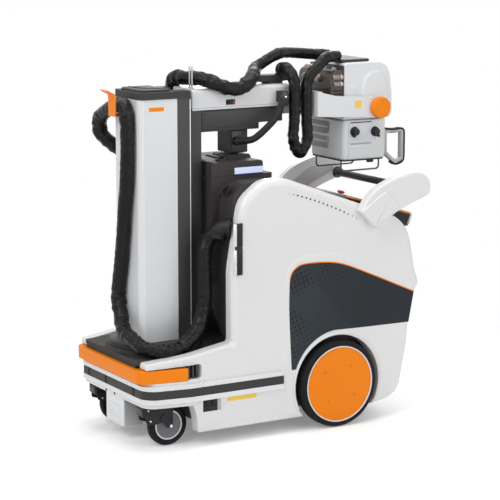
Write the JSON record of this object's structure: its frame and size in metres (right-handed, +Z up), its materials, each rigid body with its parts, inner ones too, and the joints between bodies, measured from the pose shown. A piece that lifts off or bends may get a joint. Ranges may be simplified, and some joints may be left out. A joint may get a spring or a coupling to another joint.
{
  "type": "portable x-ray machine",
  "caption": "Motorised base with a swinging column, a lifting mast, a telescoping boom and a tilting tube head with a collimator; cable in a fabric sleeve.",
  "frame": {"origin": "on the floor under the middle of the machine, measured without its cable sleeves", "axes": "+Z up; the column stands towards -Y and the driver's handle is at +Y; +X is the machine's side with the slot for the flat cassettes"},
  "size_m": [0.6694, 1.27, 1.4536],
  "materials": {
    "white_shell": "satin white moulding",
    "white_metal": "white enamel on aluminium",
    "charcoal": "dark grained moulding",
    "dark_metal": "dark anodised profile",
    "graphic": "slate printed panel",
    "orange": "satin orange",
    "silver": "satin anodised",
    "steel": "brushed",
    "black": "matt black",
    "tyre": "matt rubber",
    "light": "translucent strip",
    "iron": "plain block",
    "fabric": "woven sleeve"
  },
  "bodies": {
    "base": {"side_panel_left": "white_shell", "side_panel_right": "white_shell", "side_inlay_left": "graphic", "side_inlay_right": "graphic", "chassis": "charcoal", "power_unit": "iron", "base_shell": "white_shell", "deck_mat": "charcoal", "bumper": "orange", "rub_rail": "silver", "rub_strip": "charcoal", "sensor_box": "silver", "cabinet": "charcoal", "front_cover": "charcoal", "rear_panel": "white_shell", "top_cap": "charcoal", "status_light": "light", "hose_port": "black", "slot_trim": "charcoal", "display": "charcoal", "wing_left": "white_shell", "wing_right": "white_shell", "drive_handle": "charcoal", "sleeve_base_column": "fabric"},
    "column": {"column_plinth": "charcoal", "column_housing": "white_metal", "column_rail": "dark_metal", "column_cap": "charcoal", "cable_hook": "orange", "sleeve_column_mast": "fabric"},
    "mast": {"inner_mast": "silver", "boom_carriage": "charcoal", "boom_shell": "white_metal", "dock_shoe": "charcoal", "grip_bar": "charcoal", "cable_clip": "charcoal", "sleeve_mast_boom": "fabric", "loop_mast_boom": "fabric"},
    "boom": {"boom_inner": "silver", "boom_collar": "steel", "sleeve_boom_yoke": "fabric", "loop_boom_yoke": "fabric"},
    "yoke": {"yoke_fork": "white_metal", "tilt_shaft": "orange", "sleeve_yoke_head": "fabric", "loop_yoke_head": "fabric"},
    "head": {"tube_housing": "white_metal", "tube_end": "black"},
    "collimator": {"collimator_box": "white_shell", "collimator_handle_left": "silver", "collimator_handle_right": "silver", "spacer_guard": "black"},
    "caster_left": {"caster_fork_left": "steel"},
    "caster_right": {"caster_fork_right": "steel"},
    "caster_wheel_left": {"caster_wheel_left": "tyre"},
    "caster_wheel_right": {"caster_wheel_right": "tyre"},
    "wheel_left": {"drive_tyre_left": "tyre", "drive_hub_left": "orange"},
    "wheel_right": {"drive_tyre_right": "tyre", "drive_hub_right": "orange"}
  },
  "joints": [
    {"name": "column_swing", "type": "hinge", "parent": "base", "child": "column", "pos_m": [0, -0.436, 0.352], "axis": [0, 0, 1], "range_deg": [-270, 270], "deforming": ["sleeve_base_column"]},
    {"name": "mast_lift", "type": "slide", "parent": "column", "child": "mast", "axis": [0, 0, 1], "range_m": [0, 0.72], "deforming": ["sleeve_column_mast"]},
    {"name": "boom_reach", "type": "slide", "parent": "mast", "child": "boom", "axis": [0, 1, 0], "range_m": [0, 0.36], "deforming": ["sleeve_mast_boom", "loop_mast_boom"]},
    {"name": "head_roll", "type": "hinge", "parent": "boom", "child": "yoke", "pos_m": [0, 0.2085, 1.235], "axis": [0, 1, 0], "range_deg": [-180, 180], "deforming": ["sleeve_boom_yoke", "loop_boom_yoke"]},
    {"name": "head_tilt", "type": "hinge", "parent": "yoke", "child": "head", "pos_m": [0, 0.4925, 1.21], "axis": [1, 0, 0], "range_deg": [-20, 90], "deforming": ["sleeve_yoke_head", "loop_yoke_head"]},
    {"name": "collimator_turn", "type": "hinge", "parent": "head", "child": "collimator", "pos_m": [0, 0.4425, 1.163], "axis": [0, 0, 1], "range_deg": [-90, 90]},
    {"name": "caster_swivel_left", "type": "hinge", "parent": "base", "child": "caster_left", "pos_m": [-0.2, -0.5225, 0.168], "axis": [0, 0, 1], "continuous": true},
    {"name": "caster_spin_left", "type": "hinge", "parent": "caster_left", "child": "caster_wheel_left", "pos_m": [-0.2, -0.4875, 0.079], "axis": [1, 0, 0], "continuous": true},
    {"name": "wheel_spin_left", "type": "hinge", "parent": "base", "child": "wheel_left", "pos_m": [-0.294, 0.2065, 0.17], "axis": [1, 0, 0], "continuous": true},
    {"name": "caster_swivel_right", "type": "hinge", "parent": "base", "child": "caster_right", "pos_m": [0.2, -0.5225, 0.168], "axis": [0, 0, 1], "continuous": true},
    {"name": "caster_spin_right", "type": "hinge", "parent": "caster_right", "child": "caster_wheel_right", "pos_m": [0.2, -0.4875, 0.079], "axis": [1, 0, 0], "continuous": true},
    {"name": "wheel_spin_right", "type": "hinge", "parent": "base", "child": "wheel_right", "pos_m": [0.294, 0.2065, 0.17], "axis": [1, 0, 0], "continuous": true}
  ]
}
